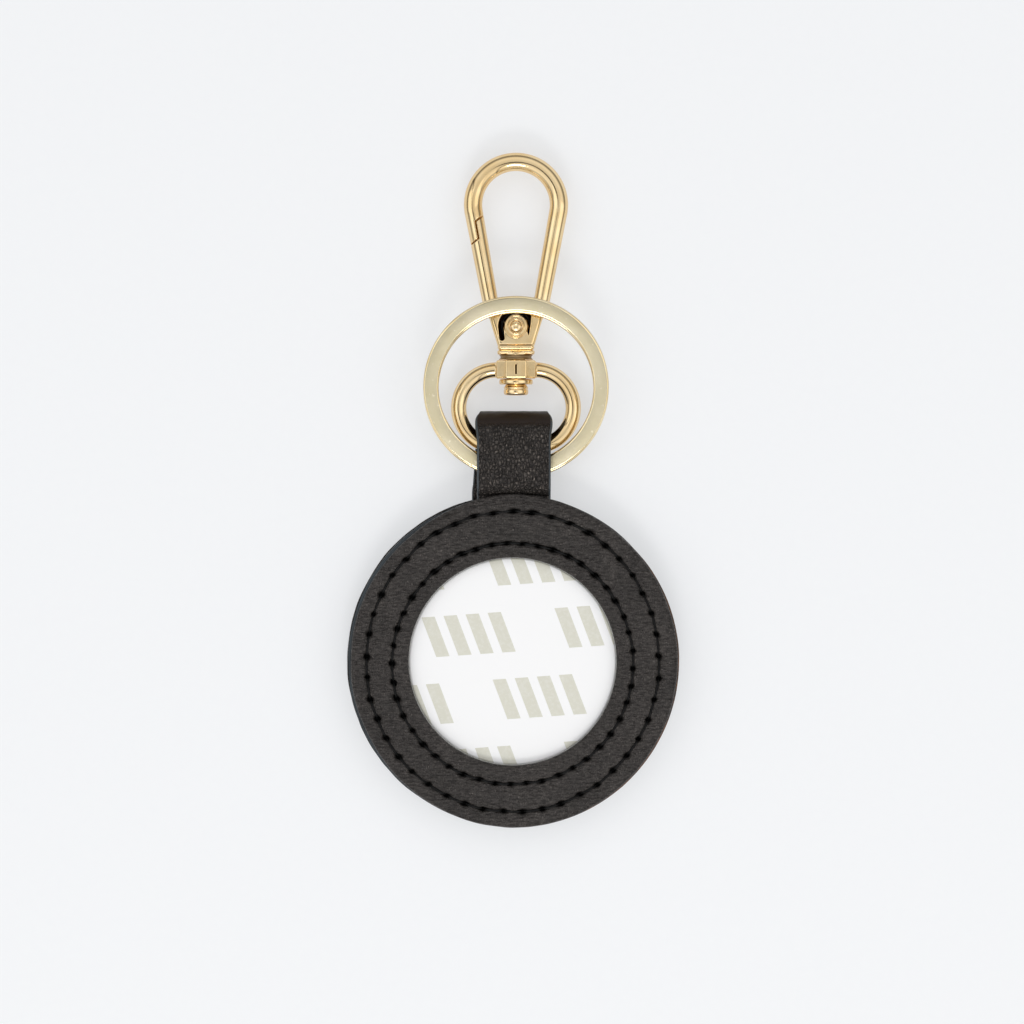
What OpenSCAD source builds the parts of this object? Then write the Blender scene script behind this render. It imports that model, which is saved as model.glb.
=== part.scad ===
// Round leather tracker tag on a strap loop, with a flat key ring and a swivel snap hook.
// It lies on its back face: +Z is up, +Y runs from the tag towards the hook's tip,
// and the origin is the centre of the tag's back face. Millimetres.

/* [Leather tag] */
// Diameter of the back leather disc
tag_d = 54.4; // [52:0.2:58]
// Diameter of the front ring, a little smaller than the back disc
front_d = 54; // [51:0.2:54]
// Diameter of the round window in the front ring
window_d = 33.8; // [32:0.2:34.2]
// Thickness of the back leather
back_t = 1.2; // [1:0.1:1.6]
// Thickness of the core board between the two leathers
core_t = 3.6; // [3.6:0.1:4.2]
// Thickness of the front leather
front_t = 1.4; // [1.2:0.1:1.8]

/* [Stitching] */
// Radius of the outer row of stitches
outer_row_r = 23.8; // [23:0.1:24.4]
// Radius of the inner row of stitches
inner_row_r = 19.5; // [19:0.1:20]
// Number of stitches in each row
stitch_count = 45; // [36:1:50]
// Diameter of the thread
thread_d = 0.5; // [0.4:0.05:0.6]

/* [Strap loop] */
// Width of the strap
strap_w = 12; // [11:0.5:12.5]
// Thickness of the strap
strap_t = 1.1; // [1:0.05:1.1]
// Height of the folded loop, outside to outside
loop_h = 7; // [7:0.1:7.4]
// Distance from the tag's centre to the outside of the fold
fold_y = 40.8; // [40.6:0.1:41.2]

/* [Tracker module] */
// Outer diameter of the module
module_d = 37; // [36.6:0.1:37]
// Wall and floor thickness of the module's case
case_t = 0.4; // [0.3:0.05:0.45]
// Diameter of the coin cell
cell_d = 20; // [16:0.5:20]
// Thickness of the coin cell
cell_t = 1.6; // [1.2:0.1:1.6]
// Thickness of the circuit board
board_t = 0.6; // [0.4:0.1:0.8]

/* [Key ring] */
// Outer diameter of the key ring
ring_d = 30; // [29:0.5:30]
// Width of the flat wire, measured across the ring's face
ring_w = 2.5; // [2.2:0.1:2.5]
// Thickness of the two turns together
ring_t = 1.6; // [1.4:0.1:1.6]
// Angle at which the ring lies over the hook
ring_tilt = 14.5; // [14.5:0.5:20]

/* [Swivel] */
// Diameter of the eye's wire
eye_wire_d = 2.5; // [2.3:0.1:2.5]
// Outer width of the oblong eye
eye_w = 21.2; // [20.6:0.1:21.2]
// Outer length of the oblong eye along the hook
eye_len = 14.9; // [14.5:0.1:15]
// Diameter of the swivel barrel
barrel_d = 6.6; // [6:0.1:6.8]
// Diameter of the swivel stem
stem_d = 2.9; // [2.4:0.1:3]
// Radial running clearance of pins in their bores
run_gap = 0.05; // [0.03:0.01:0.08]

/* [Snap hook] */
// Radius of the hook's top arc, at the middle of the wire
arc_r = 7; // [6.8:0.1:7.2]
// Diameter of the hook's wire at the top arc
hook_wire_d = 3; // [2.8:0.1:3]
// Diameter of the hook's wire where the legs meet the body
leg_d = 2.55; // [2.4:0.05:2.6]
// Lean of each leg away from the hook's centreline
leg_lean = 10.5; // [10:0.1:11]
// Distance from the tag's centre to the centre of the top arc
arc_y = 74.4; // [74:0.1:75]
// Thickness of the hook's body
body_t = 4.4; // [4.2:0.1:4.6]
// Thickness of each cheek of the body
cheek_t = 0.8; // [0.6:0.1:0.9]
// Diameter of the gate's pivot rivet
gate_pin_d = 1.8; // [1.4:0.1:2]

/* [Hidden] */

$fn = 96;
eps = 0.01;

// Levels of the tag's layers
core_z = back_t;
front_z = core_z + core_t;
top_z = front_z + front_t;
edge_round = 0.5;
groove_w = 0.9;
front_groove = 0.35;
back_groove = 0.5;

// Strap loop
strap_x = 0.2;
tail_y = 20.6;
loop_start = tag_d / 2 + 0.2;
loop_full = loop_start + 2.4;
axis_z = loop_h / 2;
fold_r = loop_h / 2;
fold_centre_y = fold_y - fold_r;

// Hardware centreline
hw_x = 0.55;

// Module
pocket_r = module_d / 2 + 0.15;
recess_r = window_d / 2 + 0.5;
cover_t = 0.4;
recess_t = 0.6;
liner_t = 0.12;
liner_r = window_d / 2 - 0.1;
case_wall = 0.8;
module_z = core_z;
floor_z = module_z + case_t;
cover_z = front_z - recess_t - cover_t;
seal_t = 0.15;
seal_w = 0.5;
cell_y = -6.3;
cell_z = floor_z + 0.22;
board_z = floor_z + 0.15;
chip_z = board_z + board_t;
contact_t = 0.12;

// Key ring: it turns about a line inside the strap loop
ring_pivot_y = 32;
ring_pivot_in = 0.85;
ring_mid_r = (ring_d - ring_w) / 2;

// Swivel eye
eye_r = (eye_len - eye_wire_d) / 2;
eye_half = eye_w / 2 - eye_wire_d / 2 - eye_r;
eye_y = 41.27;
barrel_low = 46;
barrel_high = 49;
washer_t = 0.85;
washer_r = 2.75;
washer_high = barrel_low - 0.08;
head_low = 43.34;
head_high = 44.85;
head_r = 2;
stem_high = 51.2;

// Snap hook
neck_low = barrel_high + 0.12;
rib_low = 49.95;
rib_high = 51.6;
body_low_half = 3.05;
body_mid_y = 56.4;
body_mid_half = 4.56;
body_high_y = 58.1;
body_high_half = 5.1;
cavity_t = body_t - 2 * cheek_t;
pin_y = 54.5;
hub_r = 2.4;
cavity_r = 2.75;
boss_r = 1.87;
boss_h = 0.3;
island_r = 2;
spring_seat_r = 1.7;
hub_z = axis_z - 1.3;
hub_t = 1.4;
hub_top = axis_z + cavity_t / 2 - 0.08;
tip_x = arc_r * cos(leg_lean);
tip_y = arc_y - arc_r * sin(leg_lean);
leg_len = (tip_y - 55.6) / cos(leg_lean);
step_mid = -2.95;
step_run = 1.4;
step_rise = 0.8;
step_gap = 0.12;

// Smooth blend from 0 to 1 as t runs from 0 to 1
function ease(t) = t <= 0 ? 0 : t >= 1 ? 1 : (1 - cos(180 * t)) / 2;

// Points of a blend between two heights over the strap's opening stretch
function blend_points(z0, z1, steps = 8) =
    [for (i = [0 : steps])
        [loop_start + (loop_full - loop_start) * i / steps, z0 + (z1 - z0) * ease(i / steps)]];

// Points of an arc about [y, z], both ends included
function arc_points(centre, r, from, to, steps) =
    [for (i = [0 : steps])
        let (a = from + (to - from) * i / steps)
        centre + r * [cos(a), sin(a)]];

function reversed(points) = [for (i = [len(points) - 1 : -1 : 0]) points[i]];

// ---------- shared shapes ----------

// A washer-shaped band with its axis along Z
module band(r_out, r_in, h) {
    difference() {
        cylinder(r = r_out, h = h);
        translate([0, 0, -eps]) cylinder(r = r_in, h = h + 2 * eps);
    }
}

// Places its children at the swivel axis, with their Z along the hook
module along_hook(y) {
    translate([hw_x, y, axis_z]) rotate([-90, 0, 0]) children();
}

// Puts local Y along a leg of the hook, zero where the top arc begins; side is -1 or 1
module leg_frame(side) {
    translate([hw_x + side * tip_x, tip_y, axis_z]) rotate([0, 0, -side * leg_lean]) children();
}

// One tapered leg of the hook, in its leg frame; its end runs a little way inside the arc
module leg_wire() {
    translate([0, -leg_len, 0])
        rotate([-90, 0, 0])
            cylinder(h = leg_len + 0.4, r1 = leg_d / 2, r2 = hook_wire_d / 2 - 0.02);
}

// Everything on the nose's side of the stepped joint; grow widens it by the joint's gap
module nose_side(grow = 0) {
    reach = 4;
    inner_v = step_mid + step_run - grow;
    outer_v = step_mid - step_run - grow;
    translate([0, 0, -reach])
        linear_extrude(2 * reach)
            polygon([[grow, inner_v], [reach, inner_v + step_rise * reach / 1.5],
                [reach, 2 * reach], [-reach, 2 * reach],
                [-reach, outer_v - step_rise * reach / 1.5], [grow, outer_v]]);
}

// ---------- leather ----------

module front_ring() {
    outer_r = front_d / 2;
    color([0.13, 0.12, 0.12])
        difference() {
            rotate_extrude()
                polygon(concat(
                    [[window_d / 2, front_z], [outer_r, front_z]],
                    arc_points([outer_r - edge_round, top_z - edge_round], edge_round, 0, 90, 6),
                    [[window_d / 2, top_z]]));
            for (r = [outer_row_r, inner_row_r])
                translate([0, 0, top_z - front_groove])
                    band(r + groove_w / 2, r - groove_w / 2, front_groove + eps);
        }
}

module back_disc() {
    color([0.12, 0.11, 0.11])
        difference() {
            cylinder(r = tag_d / 2, h = back_t);
            for (r = [outer_row_r, inner_row_r])
                translate([0, 0, -eps])
                    band(r + groove_w / 2, r - groove_w / 2, back_groove + eps);
        }
}

// Stiff board ring that makes room for the module; its recesses take the strap's two tails
module core_ring() {
    recess_w = strap_w + 0.1;
    color([0.2, 0.18, 0.17])
        difference() {
            translate([0, 0, core_z]) band(front_d / 2 - 0.2, pocket_r, core_t);
            for (z = [core_z - eps, front_z - strap_t])
                translate([strap_x - recess_w / 2, tail_y - 0.05, z])
                    cube([recess_w, 10, strap_t + eps]);
        }
}

module strap_loop() {
    centre = [fold_centre_y, axis_z];
    low_tail = core_z + strap_t;
    high_tail = front_z - strap_t;
    color([0.14, 0.12, 0.12])
        translate([strap_x - strap_w / 2, 0, 0])
            rotate([90, 0, 90])
                linear_extrude(strap_w)
                    polygon(concat(
                        [[tail_y, core_z]],
                        blend_points(core_z, 0),
                        arc_points(centre, fold_r, -90, 90, 24),
                        reversed(blend_points(front_z, loop_h)),
                        [[tail_y, front_z], [tail_y, high_tail]],
                        blend_points(high_tail, loop_h - strap_t),
                        arc_points(centre, fold_r - strap_t, 90, -90, 24),
                        reversed(blend_points(low_tail, strap_t)),
                        [[tail_y, low_tail]]));
}

// One row of stitches, on the front and on the back
module stitch_row(r) {
    pitch = 2 * PI * r / stitch_count;
    color([0.05, 0.05, 0.05])
        for (i = [0 : stitch_count - 1])
            rotate([0, 0, 360 * i / stitch_count])
                for (z = [thread_d / 2 + 0.02, top_z - front_groove + thread_d / 2 + 0.02])
                    translate([r, 0, z])
                        rotate([90, 0, 0])
                            cylinder(d = thread_d, h = 0.72 * pitch, center = true, $fn = 16);
}

module outer_stitching() {
    stitch_row(outer_row_r);
}

module inner_stitching() {
    stitch_row(inner_row_r);
}

// ---------- window and module ----------

module adhesive_disc() {
    color([0.93, 0.93, 0.9])
        translate([0, 0, front_z - recess_t])
            cylinder(r = recess_r - 0.05, h = recess_t - liner_t);
}

module release_liner() {
    color([0.98, 0.98, 0.97])
        translate([0, 0, front_z - liner_t])
            cylinder(r = liner_r, h = liner_t);
}

module module_rear_case() {
    outer_r = module_d / 2;
    color([0.9, 0.9, 0.9])
        translate([0, 0, module_z])
            difference() {
                cylinder(r = outer_r, h = cover_z - seal_t - module_z);
                translate([0, 0, case_t]) cylinder(r = outer_r - case_wall, h = core_t);
            }
}

module module_seal() {
    outer_r = module_d / 2;
    color([0.2, 0.2, 0.2])
        translate([0, 0, cover_z - seal_t])
            band(outer_r - 0.1, outer_r - 0.1 - seal_w, seal_t);
}

// Cover with a shallow dish that holds the adhesive disc
module module_front_cover() {
    outer_r = module_d / 2;
    color([0.94, 0.94, 0.94])
        difference() {
            translate([0, 0, cover_z]) cylinder(r = outer_r, h = front_z - cover_z);
            translate([0, 0, cover_z + cover_t]) cylinder(r = recess_r, h = recess_t + eps);
        }
}

module circuit_board() {
    color([0.05, 0.35, 0.2])
        translate([0, 0, board_z])
            difference() {
                cylinder(r = module_d / 2 - case_wall - 0.3, h = board_t);
                translate([0, cell_y, -eps]) cylinder(d = cell_d + 0.8, h = board_t + 2 * eps);
                translate([-cell_d / 2 - 0.4, -module_d, -eps])
                    cube([cell_d + 0.8, module_d + cell_y, board_t + 2 * eps]);
            }
}

module coin_cell() {
    can_step = 0.25;
    color([0.78, 0.78, 0.8])
        translate([0, cell_y, cell_z]) {
            cylinder(d = cell_d - 2.4, h = can_step);
            translate([0, 0, can_step]) cylinder(d = cell_d, h = cell_t - can_step);
        }
}

// Bent strip that reaches over the cell from a pad on the board
module cell_contact_top() {
    z = cell_z + cell_t + 0.02;
    color([0.85, 0.8, 0.6]) {
        translate([-1.5, cell_y - 4, z]) cube([3, 17, contact_t]);
        translate([-1.5, cell_y + 13 - contact_t, chip_z])
            cube([3, contact_t, z - chip_z + eps]);
        translate([-1.5, cell_y + 13 - contact_t, chip_z]) cube([3, 2.4, contact_t]);
    }
}

// Leaf under the cell, soldered to the underside of the board
module cell_contact_bottom() {
    color([0.85, 0.8, 0.6])
        translate([-2, cell_y - 5, floor_z + 0.02]) cube([4, 18, contact_t]);
}

module piezo_sounder() {
    color([0.8, 0.65, 0.3])
        translate([8.4, 8.2, chip_z]) {
            cylinder(d = 10, h = 0.5);
            translate([0, 0, 0.5]) cylinder(d = 7, h = 0.3);
        }
}

module radio_chip() {
    color([0.08, 0.08, 0.08]) translate([-9.4, 4.6, chip_z]) cube([5, 5, 0.8]);
}

module crystal() {
    color([0.75, 0.75, 0.75]) translate([-13.4, 5.6, chip_z]) cube([2.5, 2, 0.6]);
}

module chip_antenna() {
    color([0.9, 0.9, 0.88]) translate([-6.4, 12.6, chip_z]) cube([7, 2, 1]);
}

// ---------- key ring ----------

// Two flat turns of wire; a groove on both rims shows where they part
module split_ring() {
    half_w = ring_w / 2;
    half_t = ring_t / 2;
    bevel = 0.25;
    groove = 0.12;
    side = [[half_w - bevel, -half_t], [half_w, bevel - half_t], [half_w, -groove],
        [half_w - groove, 0], [half_w, groove], [half_w, half_t - bevel],
        [half_w - bevel, half_t]];
    color([0.82, 0.76, 0.62])
        translate([hw_x, ring_pivot_y, axis_z])
            rotate([ring_tilt, 0, 0])
                translate([0, ring_mid_r - ring_pivot_in, 0])
                    rotate_extrude()
                        translate([ring_mid_r, 0])
                            polygon(concat(side, [for (p = reversed(side)) [-p[0], p[1]]]));
}

// ---------- swivel ----------

module swivel_eye() {
    wire_r = eye_wire_d / 2;
    chamfer = 0.3;
    barrel_r = barrel_d / 2;
    color([0.87, 0.72, 0.42])
        difference() {
            union() {
                for (side = [-1, 1])
                    translate([hw_x + side * eye_half, eye_y, axis_z])
                        rotate([0, 0, side > 0 ? -90 : 90])
                            rotate_extrude(angle = 180)
                                translate([eye_r, 0]) circle(r = wire_r, $fn = 48);
                for (side = [-1, 1])
                    translate([hw_x - eye_half, eye_y + side * eye_r, axis_z])
                        rotate([0, 90, 0]) cylinder(r = wire_r, h = 2 * eye_half, $fn = 48);
                along_hook(barrel_low)
                    rotate_extrude()
                        polygon([[0, 0], [barrel_r - chamfer, 0], [barrel_r, chamfer],
                            [barrel_r, barrel_high - barrel_low - chamfer],
                            [barrel_r - chamfer, barrel_high - barrel_low],
                            [0, barrel_high - barrel_low]]);
            }
            along_hook(barrel_low - 1)
                cylinder(d = stem_d + 2 * run_gap, h = barrel_high - barrel_low + 2);
        }
}

module swivel_washer() {
    color([0.87, 0.7, 0.4])
        along_hook(washer_high - washer_t) band(washer_r, stem_d / 2 + run_gap, washer_t);
}

// Riveted stem: a domed head below the washer and a shank that runs into the hook's body
module swivel_stem() {
    neck_r = 1.75;
    head_t = head_high - head_low;
    dome = 0.5;
    color([0.87, 0.72, 0.42]) {
        along_hook(head_low)
            rotate_extrude()
                polygon([[0, 0], [head_r - dome, 0], [head_r, dome], [head_r, head_t - 0.2],
                    [head_r - 0.2, head_t], [neck_r, head_t],
                    [neck_r, washer_high - washer_t - head_low],
                    [0, washer_high - washer_t - head_low]]);
        along_hook(head_low) cylinder(d = stem_d, h = stem_high - head_low);
    }
}

// ---------- snap hook ----------

// The plan outline of the hook's body, between the ribs and the shoulders
module body_outline() {
    polygon([[-body_low_half, rib_high - 0.2], [body_low_half, rib_high - 0.2],
        [body_mid_half, body_mid_y], [body_high_half, body_high_y],
        [-body_high_half, body_high_y], [-body_mid_half, body_mid_y]]);
}

// The space between the cheeks that the gate's root turns in, about the pivot
module cavity() {
    height = body_high_y - pin_y + 2;
    cylinder(r = cavity_r, h = cavity_t);
    linear_extrude(cavity_t)
        polygon([[-1.9, 0.35], [-8, 3], [-8, height], [1.6, height], [1.6, 1.6]]);
}

// The crescent cut in the front cheek, around the pivot's boss
module crescent_outline() {
    outer_r = cavity_r;
    difference() {
        circle(r = outer_r);
        circle(r = island_r);
        polygon([[0, 0], [-2.6, -2.9], [2, -5], [5, -1.9]]);
    }
}

module hook_ribs() {
    half_ts = [2.6, 2.35, 2.5];
    half_ws = [3.04, 2.8, 2.95];
    lows = [rib_low, rib_low + 0.5, rib_low + 0.65];
    highs = [rib_low + 0.5, rib_low + 0.65, rib_high];
    for (i = [0 : 2])
        translate([hw_x - half_ws[i], lows[i], axis_z - half_ts[i]])
            cube([2 * half_ws[i], highs[i] - lows[i], 2 * half_ts[i]]);
}

module hook_body() {
    neck_r = 2.6;
    color([0.87, 0.72, 0.42])
        difference() {
            union() {
                along_hook(neck_low) cylinder(r = neck_r, h = rib_low - neck_low);
                hook_ribs();
                translate([hw_x, 0, axis_z - body_t / 2])
                    linear_extrude(body_t) body_outline();
                translate([hw_x, pin_y, axis_z + body_t / 2])
                    cylinder(r = boss_r, h = boss_h);
                leg_frame(1) leg_wire();
                translate([hw_x, arc_y, axis_z])
                    rotate([0, 0, -leg_lean])
                        rotate_extrude(angle = 180 + 2 * leg_lean)
                            translate([arc_r, 0]) circle(d = hook_wire_d, $fn = 48);
                leg_frame(-1)
                    intersection() {
                        leg_wire();
                        nose_side();
                    }
            }
            along_hook(neck_low - 1) cylinder(d = stem_d + 2 * run_gap, h = stem_high - neck_low + 1.2);
            translate([hw_x, pin_y, axis_z - cavity_t / 2]) cavity();
            translate([hw_x, pin_y, axis_z])
                linear_extrude(body_t) crescent_outline();
            translate([hw_x, pin_y, axis_z - body_t])
                cylinder(d = gate_pin_d + 2 * run_gap, h = 2 * body_t);
        }
}

// Plan outline of the gate's root, from the hub out to the foot of its leg
module gate_root_outline() {
    circle(r = hub_r);
    polygon([[-2.05, 0.7], [-4.35, body_mid_y - pin_y - 0.2], [-5.25, 4.2],
        [-2.85, 4.2], [-1.2, 2.2], [0, 2.3]]);
}

module gate() {
    root_t = leg_d - 0.1;
    color([0.87, 0.72, 0.42])
        difference() {
            union() {
                translate([hw_x, pin_y, axis_z - root_t / 2])
                    linear_extrude(root_t) gate_root_outline();
                translate([hw_x, pin_y, hub_z])
                    cylinder(r = spring_seat_r, h = hub_top - hub_z);
                leg_frame(-1)
                    difference() {
                        leg_wire();
                        nose_side(grow = step_gap);
                        translate([-5, -leg_len - 1, -5]) cube([10, 4, 10]);
                    }
            }
            translate([hw_x, pin_y, hub_z + hub_t])
                band(cavity_r + 0.1, spring_seat_r, 4);
            translate([hw_x, pin_y, axis_z - 5])
                cylinder(d = gate_pin_d + 2 * run_gap, h = 10);
        }
}

// Torsion spring around the gate's seat: closed turns, with one end set in the body
module gate_spring() {
    wire_d = 0.45;
    coil_r = 2.3;
    turns = 2;
    color([0.15, 0.15, 0.16])
        for (i = [0 : turns - 1])
            translate([hw_x, pin_y, hub_z + hub_t + 0.08 + wire_d / 2 + i * (wire_d + 0.05)])
                rotate_extrude() translate([coil_r, 0]) circle(d = wire_d, $fn = 16);
}

// Rivet with a dimpled front head and a plain rear head
module gate_rivet() {
    head_r = 1.2;
    head_h = 0.25;
    front = axis_z + body_t / 2 + boss_h;
    rear = axis_z - body_t / 2;
    color([0.9, 0.76, 0.48])
        difference() {
            union() {
                translate([hw_x, pin_y, rear - head_h])
                    cylinder(d = gate_pin_d, h = front + head_h - rear + head_h);
                translate([hw_x, pin_y, front]) cylinder(r = head_r, h = head_h);
                translate([hw_x, pin_y, rear - head_h]) cylinder(r = head_r, h = head_h);
            }
            translate([hw_x, pin_y, front + 1]) sphere(r = 1.1, $fn = 48);
        }
}

front_ring();
core_ring();
back_disc();
strap_loop();
outer_stitching();
inner_stitching();
adhesive_disc();
release_liner();
module_rear_case();
module_front_cover();
module_seal();
circuit_board();
coin_cell();
cell_contact_top();
cell_contact_bottom();
piezo_sounder();
radio_chip();
crystal();
chip_antenna();
split_ring();
swivel_eye();
swivel_washer();
swivel_stem();
hook_body();
gate();
gate_spring();
gate_rivet();
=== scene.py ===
"""Leather tracker tag with key ring and swivel snap hook, seen from straight above.

Lengths are millimetres until a mesh is made; the floor, lights and camera are in metres.
"""
import math
import random

import bpy
import numpy as np
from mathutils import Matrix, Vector, noise


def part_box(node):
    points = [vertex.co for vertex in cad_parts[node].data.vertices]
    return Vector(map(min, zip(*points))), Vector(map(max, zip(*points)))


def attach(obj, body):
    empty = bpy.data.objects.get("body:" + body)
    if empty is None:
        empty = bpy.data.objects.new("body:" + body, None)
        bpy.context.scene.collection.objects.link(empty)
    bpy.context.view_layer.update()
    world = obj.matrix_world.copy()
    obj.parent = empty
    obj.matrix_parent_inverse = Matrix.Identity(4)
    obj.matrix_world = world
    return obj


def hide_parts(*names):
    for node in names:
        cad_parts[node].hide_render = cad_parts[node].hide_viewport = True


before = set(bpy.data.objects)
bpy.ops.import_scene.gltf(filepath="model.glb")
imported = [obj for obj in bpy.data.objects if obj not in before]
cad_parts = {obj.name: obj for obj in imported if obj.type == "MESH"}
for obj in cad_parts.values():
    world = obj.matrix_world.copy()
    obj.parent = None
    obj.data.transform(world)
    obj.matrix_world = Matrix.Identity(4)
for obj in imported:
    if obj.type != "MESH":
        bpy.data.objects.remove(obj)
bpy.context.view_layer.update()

MM = 0.001
SEED = 11
rng = random.Random(SEED)


# ---- sizes from the frame

class Extent:
    """A node's box at rest, in millimetres."""

    def __init__(self, node):
        low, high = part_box(node)
        self.low = np.array(low) / MM
        self.high = np.array(high) / MM
        self.mid = (self.low + self.high) / 2
        self.size = self.high - self.low


back = Extent("back_disc")
front = Extent("front_ring")
core = Extent("core_ring")
strap = Extent("strap_loop")
liner = Extent("release_liner")
ring = Extent("split_ring")
eye = Extent("swivel_eye")
washer = Extent("swivel_washer")
stem = Extent("swivel_stem")
hook = Extent("hook_body")
gate = Extent("gate")
rivet = Extent("gate_rivet")
spring = Extent("gate_spring")

TAG_R = back.size[0] / 2
FRONT_R = front.size[0] / 2
FRONT_LOW = front.low[2]
TOP_Z = front.high[2]
WINDOW_R = liner.size[0] / 2 + 0.1
OUTER_ROW_R = 23.8
INNER_ROW_R = 19.5
STITCHES = 45
CENTRE_R = 0.15
MIDDLE_ROWS = [0.002, 0.01, 0.04]
THREAD_R = 0.18
HOLE_SQUASH = 0.78

POCKET_R = Extent("module_rear_case").size[0] / 2 + 0.15

STRAP_T = 1.1
REAR_LEAN = 0.85
STRAP_X = strap.mid[0]
STRAP_W = strap.size[0]
FOLD_Y = strap.high[1]
LOOP_H = strap.high[2]

AXIS_X = stem.mid[0]
AXIS_Z = stem.mid[2]
PIN = np.array([rivet.mid[0], rivet.mid[1]])

RING_TILT = math.radians(14.5)
RING_R = ring.size[0] / 2 + 0.06
RING_SLIP = 0.3
RING_W = 2.5
RING_T = 1.6

EYE_WIRE = 1.25
EYE_END_R = 6.2
EYE_HALF = eye.size[0] / 2 - EYE_WIRE - EYE_END_R
EYE_Y = 41.27
BARREL_R = eye.size[2] / 2
BARREL_LOW = washer.high[1] + 0.08
BARREL_HIGH = 49.0
BARREL_MID = (BARREL_LOW + BARREL_HIGH) / 2
STEM_BORE_R = 1.5

HOOK_LEAN = math.radians(10.5)
ARC_R = 7.0
HOOK_WIRE = 1.5
LEG_R = 1.28
ARC_Y = hook.high[1] - ARC_R - HOOK_WIRE
BODY_HALF_T = 2.2
BODY_LOW = 51.0
BODY_HIGH = 57.95
RIGHT_FOOT_Y = 56.4
NOSE_FOOT_Y = 62.0
GATE_FOOT_Y = 57.4
HUB_R = 2.35
HUB_ROOM_R = 2.95
PIN_BORE_R = 0.95


# ---- mesh helpers

def add_mesh(name, verts, faces, material, uvs=None, dip=None):
    """Makes an object from millimetre points; uvs is one pair per vertex, dip one number."""
    mesh = bpy.data.meshes.new(name)
    mesh.from_pydata([tuple(p) for p in np.asarray(verts) * MM], [], [tuple(f) for f in faces])
    if uvs is not None:
        layer = mesh.uv_layers.new(name="UVMap")
        corner = np.empty(len(mesh.loops), dtype=np.int32)
        mesh.loops.foreach_get("vertex_index", corner)
        layer.data.foreach_set("uv", np.asarray(uvs, dtype=np.float32)[corner].ravel())
    if dip is not None:
        layer = mesh.attributes.new("dip", "FLOAT", "POINT")
        layer.data.foreach_set("value", np.asarray(dip, dtype=np.float32).ravel())
    mesh.polygons.foreach_set("use_smooth", [True] * len(mesh.polygons))
    mesh.update()
    obj = bpy.data.objects.new(name, mesh)
    bpy.context.scene.collection.objects.link(obj)
    mesh.materials.append(material)
    return obj


def grid_faces(rows, cols, closed):
    """Quads over rows of points, each row a loop; closed joins the last row to the first."""
    a, b = np.meshgrid(np.arange(rows if closed else rows - 1), np.arange(cols), indexing="ij")
    a1 = (a + 1) % rows
    b1 = (b + 1) % cols
    quads = np.stack([a * cols + b, a1 * cols + b, a1 * cols + b1, a * cols + b1], axis=-1)
    return quads.reshape(-1, 4).tolist()


def tube_faces(rings, around, first=0):
    """Sides and end caps of a tube whose points start at number first."""
    last = (rings - 1) * around
    faces = grid_faces(rings, around, False)
    faces += [list(range(around))[::-1], list(range(last, last + around))]
    return [[first + q for q in face] for face in faces]


def circle(count):
    """Angles evenly round a circle."""
    return np.linspace(0, 2 * math.pi, count, endpoint=False)


def polar(radius, angle, z):
    """Points at a distance from Z, an angle and a height."""
    return np.stack([radius * np.cos(angle), radius * np.sin(angle), z], axis=-1).reshape(-1, 3)


def smooth_step(t):
    t = np.clip(t, 0.0, 1.0)
    return t * t * (3 - 2 * t)


def wobble(points, size, seed=0.0):
    """Smooth noise from -1 to 1 at each point; size is the feature size in millimetres."""
    return np.array([noise.noise(Vector((p[0] / size + seed, p[1] / size - seed, p[2] / size)))
                     for p in points])


# ---- solids from distance fields

FAR = 50.0


def smooth_min(a, b, k):
    """The smaller of two distances, blended over k where they meet."""
    h = np.clip(0.5 + 0.5 * (b - a) / k, 0.0, 1.0)
    return b + (a - b) * h - k * h * (1 - h)


def smooth_max(a, b, k):
    return -smooth_min(-a, -b, k)


def slab(flat, height, half, edge):
    """A flat outline's distance carried half a thickness each way, its rims rounded by edge."""
    a = flat + edge
    b = np.abs(height) - half + edge
    return np.minimum(np.maximum(a, b), 0) + np.hypot(np.maximum(a, 0), np.maximum(b, 0)) - edge


def outline(x, y, points):
    """Signed distance to a closed polygon."""
    pts = np.asarray(points, dtype=float)
    best = np.full(x.shape, np.inf)
    sign = np.ones(x.shape)
    for i in range(len(pts)):
        a = pts[i]
        b = pts[i - 1]
        e = b - a
        wx = x - a[0]
        wy = y - a[1]
        t = np.clip((wx * e[0] + wy * e[1]) / (e @ e), 0, 1)
        best = np.minimum(best, (wx - e[0] * t) ** 2 + (wy - e[1] * t) ** 2)
        above = y >= a[1]
        below = y < b[1]
        left = e[0] * wy > e[1] * wx
        flip = (above & below & left) | (~above & ~below & ~left)
        sign = np.where(flip, -sign, sign)
    return sign * np.sqrt(best)


def cut_rod(p, a, b, ra, rb):
    """A straight round rod from a to b with flat ends and a different radius at each."""
    ab = b - a
    length = np.linalg.norm(ab)
    axis = ab / length
    w = p - a
    t = w @ axis
    across = np.linalg.norm(w - t[:, None] * axis, axis=1)
    side = across - (ra + (rb - ra) * np.clip(t / length, 0, 1))
    return np.maximum(side, np.abs(t - length / 2) - length / 2)


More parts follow.
